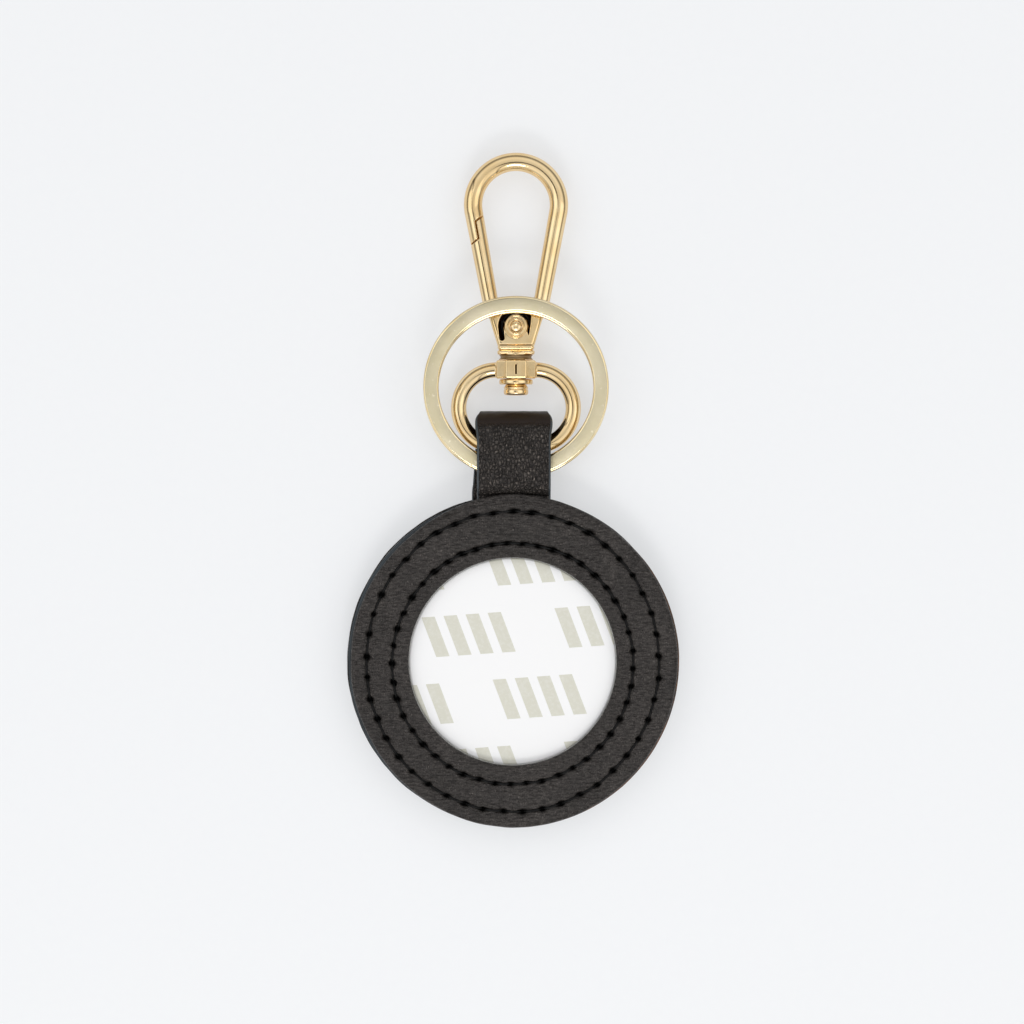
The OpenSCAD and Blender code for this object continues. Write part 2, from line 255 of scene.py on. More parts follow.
def field_mesh(field, low, high, step):
    """The zero surface of a distance field: one point per crossed cell, moved onto the surface."""
    axes = [np.arange(low[i], high[i] + step, step) for i in range(3)]
    shape = tuple(len(a) for a in axes)
    grid = np.stack(np.meshgrid(*axes, indexing="ij"), axis=-1).reshape(-1, 3)
    chunk = 400000
    values = np.concatenate([field(grid[i:i + chunk]) for i in range(0, len(grid), chunk)])
    values = values.reshape(shape)
    inside = values < 0
    cells = tuple(n - 1 for n in shape)
    corners = [(i, j, k) for i in (0, 1) for j in (0, 1) for k in (0, 1)]

    def corner_view(array, c):
        return array[c[0]:c[0] + cells[0], c[1]:c[1] + cells[1], c[2]:c[2] + cells[2]]

    count = sum(corner_view(inside, c).astype(np.int8) for c in corners)
    active = (count > 0) & (count < 8)
    index = np.full(cells, -1, dtype=np.int64)
    index[active] = np.arange(active.sum())
    total = np.zeros((active.sum(), 3))
    hits = np.zeros(active.sum())
    where = np.argwhere(active)
    for c in corners:
        for axis in range(3):
            if c[axis]:
                continue
            d = list(c)
            d[axis] = 1
            va = corner_view(values, c)[active]
            vb = corner_view(values, tuple(d))[active]
            crossed = (va < 0) != (vb < 0)
            t = np.where(crossed, va / np.where(crossed, va - vb, 1), 0)
            point = where + np.array(c, dtype=float)
            point[:, axis] += t
            total += np.where(crossed[:, None], point, 0)
            hits += crossed
    points = np.array(low) + step * total / hits[:, None]
    h = step * 0.1
    for _ in range(3):
        value = field(points)
        slope = np.stack([(field(points + h * e) - field(points - h * e)) / (2 * h)
                          for e in np.eye(3)], axis=-1)
        size = np.maximum((slope ** 2).sum(axis=1), 0.25)
        move = slope * (value / size)[:, None]
        points = points - np.clip(move, -step / 2, step / 2)
    quads = []
    for axis in range(3):
        u, v = [i for i in range(3) if i != axis]
        here = [slice(1, -1)] * 3
        here[axis] = slice(0, -1)
        there = list(here)
        there[axis] = slice(1, None)
        a = inside[tuple(here)]
        b = inside[tuple(there)]
        spots = np.argwhere(a != b)
        spots[:, u] += 1
        spots[:, v] += 1
        starts_inside = inside[tuple(spots.T)]
        around = []
        for du, dv in ((-1, -1), (0, -1), (0, 0), (-1, 0)):
            s = spots.copy()
            s[:, u] += du
            s[:, v] += dv
            around.append(index[tuple(s.T)])
        quad = np.stack(around, axis=-1)
        turn = starts_inside if axis != 1 else ~starts_inside
        quad[~turn] = quad[~turn][:, ::-1]
        quads.append(quad)
    return points, np.concatenate(quads).tolist()


def solid(name, field, extent, step, material, body, node, inside=None):
    """A piece made from a distance field, which stands for a CAD node.

    inside tells, for each point, how far it is in a recess, which the material paints as shade.
    """
    margin = 3 * step
    verts, faces = field_mesh(field, extent.low - margin, extent.high + margin, step)
    dark = None if inside is None else inside(verts)
    obj = add_mesh(name, verts, faces, material, dip=dark)
    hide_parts(node)
    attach(obj, body)
    return obj


# ---- materials

class Nodes:
    """A node tree, with short names for the nodes used here."""

    def __init__(self, tree):
        self.tree = tree

    def node(self, kind, **values):
        n = self.tree.nodes.new(kind)
        for key, value in values.items():
            if key in n.inputs:
                n.inputs[key].default_value = value
            else:
                setattr(n, key, value)
        return n

    def put(self, value, socket):
        """Links an output to a socket, or sets a number or a colour of three numbers on it."""
        if isinstance(value, bpy.types.NodeSocket):
            self.tree.links.new(value, socket)
        elif socket.type == "RGBA":
            socket.default_value = (*value, 1)
        else:
            socket.default_value = value

    def math(self, operation, a, b=None, c=None, clamp=False):
        n = self.node("ShaderNodeMath", operation=operation, use_clamp=clamp)
        for value, socket in zip((a, b, c), n.inputs):
            if value is not None:
                self.put(value, socket)
        return n.outputs[0]

    def spread(self, fac, low, high, to_low=0.0, to_high=1.0):
        """Maps low to high onto to_low to to_high, and holds it there beyond."""
        limits = {"From Min": low, "From Max": high, "To Min": to_low, "To Max": to_high}
        n = self.node("ShaderNodeMapRange", **limits)
        self.put(fac, n.inputs["Value"])
        return n.outputs["Result"]

    def mix(self, fac, a, b, blend_type="MIX"):
        n = self.node("ShaderNodeMix", data_type="RGBA", blend_type=blend_type)
        colors = [s for s in n.inputs if s.type == "RGBA"]
        for value, socket in zip((fac, a, b), [n.inputs[0]] + colors):
            self.put(value, socket)
        return [s for s in n.outputs if s.type == "RGBA"][0]

    def split(self, vector):
        """X, Y and Z of a vector."""
        n = self.node("ShaderNodeSeparateXYZ")
        self.put(vector, n.inputs[0])
        return n.outputs[:]

    def along(self, vector, direction):
        """How far a vector reaches along a direction."""
        n = self.node("ShaderNodeVectorMath", operation="DOT_PRODUCT")
        self.put(vector, n.inputs[0])
        n.inputs[1].default_value = Vector(direction).normalized()
        return n.outputs["Value"]

    def ramp(self, fac, stops, blue=1.0):
        """Grey by (place, value) stops; blue scales the blue channel."""
        n = self.node("ShaderNodeValToRGB")
        elements = n.color_ramp.elements
        while len(elements) < len(stops):
            elements.new(0.5)
        for element, (place, value) in zip(elements, stops):
            element.position = place
            element.color = (value, value, value * blue, 1)
        self.put(fac, n.inputs["Fac"])
        return n.outputs["Color"]


class Shader(Nodes):
    """The node tree of a new material."""

    def __init__(self, name, color, roughness, metallic=0.0):
        self.material = bpy.data.materials.new(name)
        self.material.use_nodes = True
        super().__init__(self.material.node_tree)
        self.surface = self.tree.nodes["Principled BSDF"]
        self.put(color, self.surface.inputs["Base Color"])
        self.put(roughness, self.surface.inputs["Roughness"])
        self.put(metallic, self.surface.inputs["Metallic"])
        self.relief = None

    def coordinates(self, kind="Object", scale=(1, 1, 1), turn=(0, 0, 0)):
        source = self.node("ShaderNodeTexCoord")
        mapping = self.node("ShaderNodeMapping", Scale=scale, Rotation=turn)
        self.put(source.outputs[kind], mapping.inputs["Vector"])
        return mapping.outputs["Vector"]

    def noise(self, size, detail=3.0, stretch=(1, 1, 1), kind="Object", turn=(0, 0, 0)):
        """Noise whose features are about size millimetres across (or size units on UVs)."""
        unit = size * MM if kind == "Object" else size
        n = self.node("ShaderNodeTexNoise", Scale=1 / unit, Detail=detail)
        self.put(self.coordinates(kind, stretch, turn), n.inputs["Vector"])
        return n.outputs["Fac"]

    def pebbles(self, size, stretch):
        """Warped cells: the distance to a cell's border, and random numbers for each cell."""
        warp = self.node("ShaderNodeTexNoise", Scale=1 / (size * 2.4 * MM), Detail=2.0)
        self.put(self.coordinates(), warp.inputs["Vector"])
        scaled = self.node("ShaderNodeVectorMath", operation="SCALE", Scale=size * MM * 0.6)
        self.put(warp.outputs["Color"], scaled.inputs[0])
        bent = self.node("ShaderNodeVectorMath", operation="ADD")
        self.put(self.coordinates("Object", stretch), bent.inputs[0])
        self.put(scaled.outputs[0], bent.inputs[1])
        cells = {}
        for feature in ("DISTANCE_TO_EDGE", "F1"):
            n = self.node("ShaderNodeTexVoronoi", feature=feature, Scale=1 / (size * MM))
            self.put(bent.outputs[0], n.inputs["Vector"])
            cells[feature] = n.outputs
        chance = self.node("ShaderNodeSeparateColor")
        self.put(cells["F1"]["Color"], chance.inputs[0])
        return cells["DISTANCE_TO_EDGE"]["Distance"], chance.outputs[:]

    def dip(self):
        """The mesh's own measure of how deep in a hole or hollow a point is."""
        return self.node("ShaderNodeAttribute", attribute_name="dip").outputs["Fac"]

    def set(self, name, value):
        self.put(value, self.surface.inputs[name])

    def bump(self, height, strength, depth):
        """Adds relief; depth is the height of the relief in millimetres."""
        n = self.node("ShaderNodeBump", Strength=strength, Distance=depth * MM)
        self.put(height, n.inputs["Height"])
        if self.relief is not None:
            self.put(self.relief, n.inputs["Normal"])
        self.relief = n.outputs["Normal"]
        self.set("Normal", self.relief)


def leather(name, light, pebble, contrast, dome, crease, smooth_from=None):
    """Black-brown leather: domed pebbles crossed by fine creases along X.

    light is the colour of the pebbles' tops, a painted highlight, and contrast (0 to 1) how dark
    the painted shade in the gaps between them is; pebble is their size, dome and crease how deep
    the relief is, all in millimetres.
    Beyond smooth_from (a Y in millimetres) the grain is stretched flat, as on a tight fold.
    """
    gaps = (0.005, 0.004, 0.0035)
    stretched = (0.017, 0.0095, 0.006)
    # Painted shade: the colour for needle holes and the stitching's valleys.
    hole_shade_color = (0.001, 0.001, 0.001)
    s = Shader(name, gaps, 0.5)
    border, chance = s.pebbles(pebble, (1.25, 0.85, 1))
    tops = s.spread(border, 0.0, 0.4)
    creases = s.noise(0.62, 3.0, stretch=(0.55, 1.9, 1))
    broad_creases = s.noise(2.2, 3.0, stretch=(0.5, 1.9, 1))
    fine = s.noise(pebble * 0.6, 2.0)
    patches = s.noise(7.0, 2.0)
    ridge = s.spread(creases, 0.38, 0.62)
    # Painted highlight and shade: pebble tops are made lighter and the gaps between them darker.
    shade = s.math("MULTIPLY", tops, s.spread(chance[0], 0.0, 1.0, 0.35, 1.0))
    shade = s.math("MULTIPLY_ADD", shade, contrast, 0.36 * (1 - contrast))
    # Crease ridges are made lighter: a painted highlight along them.
    shade = s.math("MULTIPLY", s.math("MULTIPLY_ADD", ridge, 0.6, 0.4), shade)
    shade = s.math("MULTIPLY", shade, s.spread(patches, 0.3, 0.7, 0.75, 1.15))
    # Painted glints: a few pebble tops are made much lighter, standing in for sparkle on the
    # grain.
    painted_glints = s.math("MULTIPLY", s.math("GREATER_THAN", chance[1], 0.8),
                    s.math("MULTIPLY", s.spread(tops, 0.5, 1.0), s.spread(fine, 0.5, 0.62)))
    shade = s.math("MULTIPLY_ADD", painted_glints, 1.1 * contrast, shade)
    lit = s.mix(shade, gaps, light)
    heights = [(tops, dome), (creases, crease), (broad_creases, crease), (fine, 0.16)]
    if smooth_from is not None:
        y = s.split(s.coordinates())[1]
        ragged = s.math("MULTIPLY_ADD", fine, 0.9 * MM, y)
        fold = s.spread(ragged, (smooth_from - 0.1) * MM, (smooth_from + 0.7) * MM)
        lit = s.mix(fold, lit, stretched)
        kept = s.math("SUBTRACT", 1.0, fold)
        heights = [(s.math("MULTIPLY", height, kept), depth) for height, depth in heights]
    # Painted shade: where the dip attribute marks a needle hole or stitching valley, the colour
    # goes near black and the shine is cut.
    hole = s.spread(s.dip(), 0.1, 0.42)
    s.set("Base Color", s.mix(hole, lit, hole_shade_color))
    s.set("Roughness", s.spread(s.math("ADD", fine, patches), 0.7, 1.3, 0.32, 0.52))
    s.set("Specular IOR Level", s.spread(hole, 0.0, 1.0, 0.28, 0.04))
    for height, depth in heights:
        s.bump(height, 1.0, depth)
    return s.material


def edge_paint(name, brown_side):
    """Cut leather edges: black paint in layers, its blue-grey lightness partly a painted sheen of
    bluish light;
    brown towards the lower right, partly bare core where worn and partly a painted warm
    reflection.
    """
    s = Shader(name, (0.02, 0.026, 0.03), 0.4)
    layers = s.noise(0.5, 3.0, stretch=(0.08, 0.08, 2.2))
    # The lighter blue-grey layers are partly a painted sheen of bluish light on the glossy paint.
    paint = s.mix(s.spread(layers, 0.35, 0.7), (0.014, 0.02, 0.024), (0.055, 0.07, 0.08))
    if brown_side:
        # Brown towards the lower right: partly bare core where the paint is worn, partly a painted
        # warm reflection on that side.
        x, y, z = s.split(s.coordinates())
        across = s.math("SUBTRACT", x, s.math("MULTIPLY", y, 0.5))
        high = s.math("MULTIPLY_ADD", layers, 1.2 * MM, z)
        worn = s.math("MULTIPLY", s.spread(across, -4 * MM, 14 * MM),
                      s.spread(high, (core.high[2] - 0.4) * MM, (core.high[2] + 0.3) * MM))
        blotches = s.spread(s.noise(3.0, 3.0), 0.35, 0.65)
        bare = s.mix(s.math("MULTIPLY", layers, blotches), (0.03, 0.016, 0.009),
                     (0.26, 0.125, 0.06))
        paint = s.mix(worn, paint, bare)
    s.set("Base Color", paint)
    s.set("Roughness", s.spread(layers, 0.3, 0.7, 0.3, 0.6))
    s.bump(layers, 0.8, 0.2)
    return s.material


def thread_material():
    s = Shader("waxed_thread", (0.003, 0.003, 0.003), 0.5)
    fibres = s.noise(0.12, 4.0)
    s.set("Base Color", s.mix(fibres, (0.0015, 0.0015, 0.0015), (0.006, 0.006, 0.006)))
    s.set("Roughness", s.spread(fibres, 0.3, 0.7, 0.4, 0.7))
    s.set("Specular IOR Level", 0.18)
    s.bump(fibres, 0.5, 0.03)
    return s.material


def gold(name, color, roughness):
    """Polished plating: soft unevenness, hairline scratches and a few warmer patches.

    It turns warmer where it slopes away, a painted reflection of gold mirrored in gold. The "dip"
    attribute marks the hollows, which are painted dark as shade.
    """
    deep = tuple(c * k for c, k in zip(color, (0.94, 0.86, 0.72)))
    # Painted reflection: a warmer orange copy of the plating for where the surface turns away.
    rim_reflection = tuple(c * k for c, k in zip(color, (0.92, 0.66, 0.34)))
    # Painted shade: the near-black brown given to the hollows.
    hollow_shade = (0.05, 0.02, 0.007)
    s = Shader(name, color, roughness, metallic=1.0)
    patches = s.noise(3.5, 2.0)
    scratch = s.noise(1.6, 6.0, stretch=(0.12, 1.9, 1), turn=(0, 0, 0.6))
    hair = s.spread(scratch, 0.62, 0.7)
    smears = s.noise(0.9, 4.0)
    facing = s.node("ShaderNodeLayerWeight", Blend=0.5).outputs["Facing"]
    rim = s.math("MULTIPLY", s.spread(facing, 0.5, 0.95), 0.7)
    plating = s.mix(rim, s.mix(s.spread(patches, 0.35, 0.75), color, deep), rim_reflection)
    hollow = s.spread(s.dip(), 0.3, 0.7)
    s.set("Base Color", s.mix(hollow, plating, hollow_shade))
    rough = s.spread(smears, 0.3, 0.7, roughness * 0.7, roughness * 1.4)
    rough = s.math("MULTIPLY_ADD", hair, 0.06, rough)
    s.set("Roughness", s.math("MULTIPLY_ADD", hollow, 0.5, rough))
    s.bump(smears, 0.12, 0.01)
    s.bump(scratch, 0.05, 0.006)
    return s.material


def brushed_ring():
    """The key ring's pale plating, brushed round the ring (its UV runs along the wire)."""
    s = Shader("brushed_ring", (0.80, 0.72, 0.55), 0.34, metallic=1.0)
    strokes = s.noise(0.02, 4.0, stretch=(0.35, 4.0, 1), kind="UV")
    across = s.noise(0.006, 3.0, stretch=(2.6, 0.5, 1), kind="UV")
    patches = s.noise(4.0, 3.0)
    scuffs = s.spread(s.noise(0.7, 5.0), 0.66, 0.74)
    tint = s.mix(s.spread(patches, 0.3, 0.75), (0.5, 0.45, 0.325), (0.445, 0.395, 0.26))
    bright = s.mix(s.math("MULTIPLY", scuffs, 0.5), (0, 0, 0), (0.3, 0.3, 0.3))
    s.set("Base Color", s.mix(1.0, tint, bright, "ADD"))
    s.set("Roughness", s.spread(s.math("ADD", strokes, across), 0.7, 1.3, 0.34, 0.5))
    s.bump(across, 0.5, 0.04)
    s.bump(strokes, 0.4, 0.03)
    return s.material


def liner_print():
    """White release paper with a pale pattern: staggered groups of slanted bars."""
    pitch_u, pitch_v = 21.7, 10.9
    half_u, half_v = 6.6, 3.3
    shift_u, shift_v = 4.0, 0.6
    bar_pitch, bar_share, slant = 3.6, 0.6, 0.3
    s = Shader("liner_paper", (0.93, 0.93, 0.93), 0.38)
    per_mm = 1 / MM
    u, v, _ = s.split(s.coordinates("Object", (per_mm, per_mm, per_mm), (0, 0, -math.radians(4))))
    v_up = s.math("ADD", v, shift_v)
    row = s.math("FLOOR", s.math("DIVIDE", v_up, pitch_v))
    v_in = s.math("SUBTRACT", v_up, s.math("MULTIPLY", s.math("ADD", row, 0.5), pitch_v))
    u_row = s.math("ADD", s.math("SUBTRACT", u, shift_u), s.math("MULTIPLY", row, pitch_u / 2))
    u_in = s.math("SUBTRACT", s.math("FLOORED_MODULO", u_row, pitch_u), pitch_u / 2)
    along = s.math("MULTIPLY_ADD", v_in, slant, u_in)
    in_mark = s.math("MULTIPLY", s.math("LESS_THAN", s.math("ABSOLUTE", along), half_u),
                     s.math("LESS_THAN", s.math("ABSOLUTE", v_in), half_v))
    first = bar_pitch * (1.5 + bar_share / 2)
    bar = s.math("LESS_THAN", s.math("FLOORED_MODULO", s.math("ADD", along, first), bar_pitch),
                 bar_pitch * bar_share)
    worn = s.spread(s.noise(0.5, 4.0), 0.25, 0.55, 0.8, 1.0)
    ink = s.math("MULTIPLY", s.math("MULTIPLY", in_mark, bar), worn)
    s.set("Base Color", s.mix(ink, (0.965, 0.965, 0.965), (0.71, 0.7, 0.605)))
    fibre = s.noise(1.2, 5.0)
    s.set("Roughness", s.spread(fibre, 0.3, 0.7, 0.32, 0.46))
    s.bump(fibre, 0.15, 0.01)
    return s.material


def plain(name, color, roughness, metallic, grain):
    """Moulded, pressed or plated surfaces with a fine grain, whose size is in millimetres."""
    tint = 0.85
    s = Shader(name, color, roughness, metallic)
    fine = s.noise(grain, 4.0)
    broad = s.noise(grain * 12, 2.0)
    s.set("Base Color", s.mix(broad, color, tuple(c * tint for c in color)))
    s.set("Roughness", s.spread(fine, 0.3, 0.7, roughness * 0.85, min(1.0, roughness * 1.2)))
    s.bump(fine, 0.3, 0.01)
    return s.material


ring_leather = leather("ring_leather", (0.178, 0.158, 0.145), 0.42, 0.32, 0.08, 0.42)
strap_leather = leather("strap_leather", (0.21, 0.18, 0.158), 0.58, 0.85, 0.3, 0.2,
                        FOLD_Y - 2.3)
back_leather = leather("back_leather", (0.14, 0.126, 0.115), 0.5, 0.6, 0.1, 0.3)
edge = edge_paint("edge_paint", True)
strap_edge = edge_paint("strap_edge_paint", False)
thread = thread_material()
polished = gold("polished_gold", (0.86, 0.67, 0.39), 0.1)
gate_gold = gold("gate_gold", (0.86, 0.67, 0.39), 0.1)
rivet_gold = gold("rivet_gold", (0.88, 0.69, 0.42), 0.12)
ring_gold = brushed_ring()
# Painted highlight: the bevels' plating is a paler, glossier copy of the brushed face's, so they
# show as bright lines.
ring_bevel_highlight = gold("ring_bevel_highlight", (0.9, 0.78, 0.52), 0.08)
paper = liner_print()
dark_steel = plain("dark_steel", (0.03, 0.03, 0.032), 0.35, 1.0, 0.15)


# ---- stitch places

class Row:
    """One row of stitching, a little out of round; its holes bunch up at top and bottom."""

    def __init__(self, radius, start, taller, lower, seed):
        self.radius = radius
        self.start = start
        self.taller = taller
        self.lower = lower
        draw = random.Random(seed)
        turn = [start + 2 * math.pi * i / STITCHES for i in range(STITCHES)]
        self.holes = np.array([t + 0.03 * math.sin(2 * t) + draw.uniform(-0.14, 0.14) / radius
                               for t in turn])
        self.off = np.array([draw.uniform(-0.1, 0.1) for _ in turn])
        self.size = np.array([draw.uniform(0.82, 1.12) for _ in turn])
        self.turn = np.array([draw.uniform(-0.3, 0.3) for _ in turn])

    def at(self, angle):
        """Distance of the row from the tag's middle at an angle."""
        return self.radius + self.taller * np.sin(angle) ** 2 - self.lower * np.sin(angle)


OUTER_ROW = Row(OUTER_ROW_R, math.radians(2.0), 0.6, 0.0, 5)
INNER_ROW = Row(INNER_ROW_R + 0.1, math.radians(5.0), 0.0, 0.35, 8)


def row_dip(radius, angle):
    """Depth of the stitching in the leather, in millimetres: (valley, needle holes)."""
    narrow_depth, narrow_w = 0.14, 0.38
    broad_depth, broad_w = 0.1, 1.2
    hole_depth, hole_half_w = 0.62, 0.56
    hole_long, longer_at_top = 0.84, 0.3
    valley = np.zeros_like(radius)
    holes = np.zeros_like(radius)
    pitch = 2 * math.pi / STITCHES
    x = radius * np.cos(angle)
    y = radius * np.sin(angle)
    for row in (OUTER_ROW, INNER_ROW):
        across = radius - row.at(angle)
        valley += narrow_depth * np.exp(-(across / narrow_w) ** 2)
        valley += broad_depth * np.exp(-(across / broad_w) ** 2)
        guess = np.round((angle - row.start) / pitch).astype(int)
        for step in (-1, 0, 1):
            number = (guess + step) % STITCHES
            at = row.holes[number]
            r = row.at(at) + row.off[number]
            dx = x - r * np.cos(at)
            dy = (y - r * np.sin(at)) / HOLE_SQUASH
            turn = at + math.pi / 2 + row.turn[number]
            long = (hole_long + longer_at_top * np.maximum(np.sin(at), 0) ** 4) * row.size[number]
            wide = hole_half_w * row.size[number]
            a = dx * np.cos(turn) + dy * np.sin(turn)
            b = -dx * np.sin(turn) + dy * np.cos(turn)
            shape = np.abs(a / long) ** 1.5 + np.abs(b / wide) ** 1.5
            holes = np.maximum(holes, hole_depth * np.exp(-shape ** 2))
    return valley, holes


# ---- leather pieces

def leather_disc(name, profile, side, material, seed):
    """Turns an (r, z, weight) profile round Z; the weight says how much the relief acts.

    side is 1 for the front leather and -1 for the back.
    """
    turns = 1260
    uneven_edge = 0.1
    r, z, weight = [np.array(c) for c in zip(*profile)]
    angle = circle(turns)
    a, rr = np.meshgrid(angle, r, indexing="ij")
    zz = np.tile(z, (turns, 1))
    ww = np.tile(weight, (turns, 1))
    outward = smooth_step((rr - TAG_R + 2.4) / 2.0)
    rim = polar(TAG_R, angle, np.zeros(turns))
    uneven = 0.8 * wobble(rim, 7.0, seed) + 0.5 * wobble(rim, 2.4, seed + 3)
    grow = (uneven[:, None] - 0.4) * uneven_edge
    if side > 0:
        grow = grow + front_edge(a)
    rr = rr + outward * grow
    valley, holes = row_dip(rr, a)
    points = polar(rr, a, zz)
    rough = wobble(points, 2.3, seed).reshape(rr.shape) * 0.04
    rough += wobble(points * (0.5, 2.2, 1), 1.3, seed + 5).reshape(rr.shape) * 0.03
    rough -= 0.3 * smooth_step((rr - TAG_R + 1.9) / 1.9) ** 2
    bulge = lift(rr, a) if side > 0 else 0
    zz = zz + side * ww * (rough - valley - holes + bulge)
    # Painted shade: how dark each point is made for lying in a needle hole or in the stitching's
    # valley.
    dark = np.maximum(holes, 1.5 * (valley - 0.1))
    return add_mesh(name, polar(rr, a, zz), grid_faces(turns, len(r), True), material,
                    dip=dark * ww)


def front_edge(angle):
    """How far the front leather's edge stands out: it is cut tall and set a little right."""
    turn = np.degrees(np.mod(angle, 2 * math.pi))
    over_strap = 0.25 * np.exp(-((turn - 90) / 17) ** 2)
    short = 0.3 * np.exp(-((turn - 128) / 24) ** 2)
    return 0.24 * np.cos(angle) + 0.4 * np.sin(angle) ** 4 + over_strap - short - 0.03


def lift(radius, angle):
    """The strap's tail under the front leather raises it, with an arched crease in front."""
    x = radius * np.cos(angle)
    y = radius * np.sin(angle)
    sideways = 1 - smooth_step((np.abs(x - STRAP_X) - STRAP_W / 2 + 1.2) / 3.2)
    hump = 0.17 * sideways * smooth_step((y - 20.5) / 4.0) * (y > 0)
    crest = np.exp(-((radius - 25.5) / 0.28) ** 2)
    furrow = np.exp(-((radius - 26.1) / 0.25) ** 2)
    return hump + 0.1 * (crest - furrow) * smooth_step((y - 20.0) / 4.0)


def bend(cx, cz, radius, degrees, weight=0.0):
    """Profile points on a circle at the given angles."""
    return [(cx + radius * math.cos(t), cz + radius * math.sin(t), weight)
            for t in np.radians(degrees)]


def arc(cx, cz, radius, start, end, steps, weight=0.0):
    """Profile points evenly along an arc."""
    return bend(cx, cz, radius, np.linspace(start, end, steps), weight)


def span(r0, z0, r1, z1, steps, w0=0.0, w1=0.0):
    """Points from (r0, z0) towards (r1, z1), the last one left out."""
    t = np.linspace(0, 1, steps, endpoint=False)
    return [(r0 + (r1 - r0) * k, z0 + (z1 - z0) * k, w0 + (w1 - w0) * k) for k in t]


def make_front_ring():
    edge_r, rim, foot_r = 0.5, 0.34, 0.15
    inner, outer = WINDOW_R, FRONT_R - 0.33
    shoulder = outer - edge_r
    profile = span(inner + 0.1, FRONT_LOW, outer - 0.1, FRONT_LOW, 12)
    profile += arc(outer - foot_r, FRONT_LOW + foot_r, foot_r, -90, 0, 4)
    profile += arc(shoulder, TOP_Z - edge_r, edge_r, 0, 60, 6, 0.3)
    profile += arc(shoulder, TOP_Z - edge_r, edge_r, 70, 90, 3, 1.0)
    profile += span(shoulder - 0.1, TOP_Z, inner + rim, TOP_Z, 92, 1.0, 1.0)
    profile += arc(inner + rim, TOP_Z - rim, rim, 90, 180, 7, 0.4)
    profile += span(inner, TOP_Z - rim - 0.1, inner, FRONT_LOW + 0.1, 4)
    obj = leather_disc("front_leather_ring", profile, 1, ring_leather, 1.7)
    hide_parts("front_ring")
    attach(obj, "tag")


def make_back_disc():
    """Smooth within the stitching; close rows at the middle keep its shading even."""
    edge_r, rim_r = 0.3, 0.15
    smooth_r = 15.0
    low, high = back.low[2], back.high[2]
    outer = TAG_R - 0.08
    profile = [(r, high, 0.0) for r in MIDDLE_ROWS]
    profile += span(CENTRE_R, high, outer - rim_r, high, 10)
    profile += arc(outer - rim_r, high - rim_r, rim_r, 90, 0, 4)
    profile += arc(outer - edge_r, low + edge_r, edge_r, 0, -70, 6)
    profile += span(outer - edge_r, low, smooth_r, low, 76, 1.0, 1.0)
    profile += span(smooth_r, low, CENTRE_R, low, 30)
    profile += [(r, low, 0.0) for r in MIDDLE_ROWS[::-1]]
    obj = leather_disc("back_leather_disc", profile, -1, back_leather, 4.1)
    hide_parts("back_disc")
    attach(obj, "tag")


def make_core():
    """The stacked board between the leathers, with a slot above and below for the strap."""
    turns, across, up = 900, 26, 12
    room = 0.02
    low, high = core.low[2], core.high[2]
    mid_low, mid_high = low + STRAP_T + room, high - STRAP_T - room
    swell = 0.05 * np.sin(np.linspace(0, 3 * math.pi, up - 2)) ** 2
    rows = []
    for a in circle(turns):
        proud = smooth_step((math.cos(a + math.radians(30)) + 0.1) / 0.8)
        outer = FRONT_R - 0.22 + 0.32 * float(proud)
        radii = np.linspace(POCKET_R, outer, across)
        x = radii * math.cos(a)
        y = radii * math.sin(a)
        slot = (np.abs(x - STRAP_X) < STRAP_W / 2 + 0.05) & (y > strap.low[1] - 0.05)
        tops = np.where(slot, mid_high, high)
        bottoms = np.where(slot, mid_low, low)
        side_z = np.linspace(bottoms[-1], tops[-1], up)[1:-1]
        wave = 0.05 * noise.noise(Vector((math.cos(a) * 6, math.sin(a) * 6, 0.0)))
        r = np.concatenate([radii, outer + swell + wave, radii[::-1]])
        z = np.concatenate([bottoms, side_z, tops[::-1]])
        rows.append(polar(r, a, z))
    verts = np.concatenate(rows)
    obj = add_mesh("core_layers", verts, grid_faces(turns, len(rows[0]), True), edge)
    obj.data.flip_normals()
    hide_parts("core_ring")
    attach(obj, "tag")


def strap_path():
    """Middle line of the strap in Y and Z, from the front tail round the fold to the back tail."""
    half = STRAP_T / 2
    start = TAG_R - 0.1
    full = start + 1.7
    low, high = core.low[2], core.high[2]
    fold_r = LOOP_H / 2 - half
    fold_centre = FOLD_Y - LOOP_H / 2
    y_rise = np.linspace(start, full, 14)
    rise = smooth_step((y_rise - start) / (full - start))
    tail = np.linspace(strap.low[1], start, 12)[:-1]
    flat = np.linspace(full, fold_centre, 22)[1:]
    turn = np.radians(np.linspace(90, -90, 34))[1:-1]
    top_tail = high - half
    low_tail = low + half
    top = LOOP_H - half
    front_half = [(y, top_tail) for y in tail]
    front_half += [(y, top_tail + (top - top_tail) * r) for y, r in zip(y_rise, rise)]
    front_half += [(y, top) for y in flat]
    fold = [(fold_centre + fold_r * math.cos(t), LOOP_H / 2 + fold_r * math.sin(t)) for t in turn]
    back_half = [(y, half) for y in flat[::-1]]
    back_half += [(y, low_tail + (half - low_tail) * r)
                  for y, r in zip(y_rise[::-1], rise[::-1])]
    back_half += [(y, low_tail) for y in tail[::-1]]
    return np.array(front_half + fold + back_half)


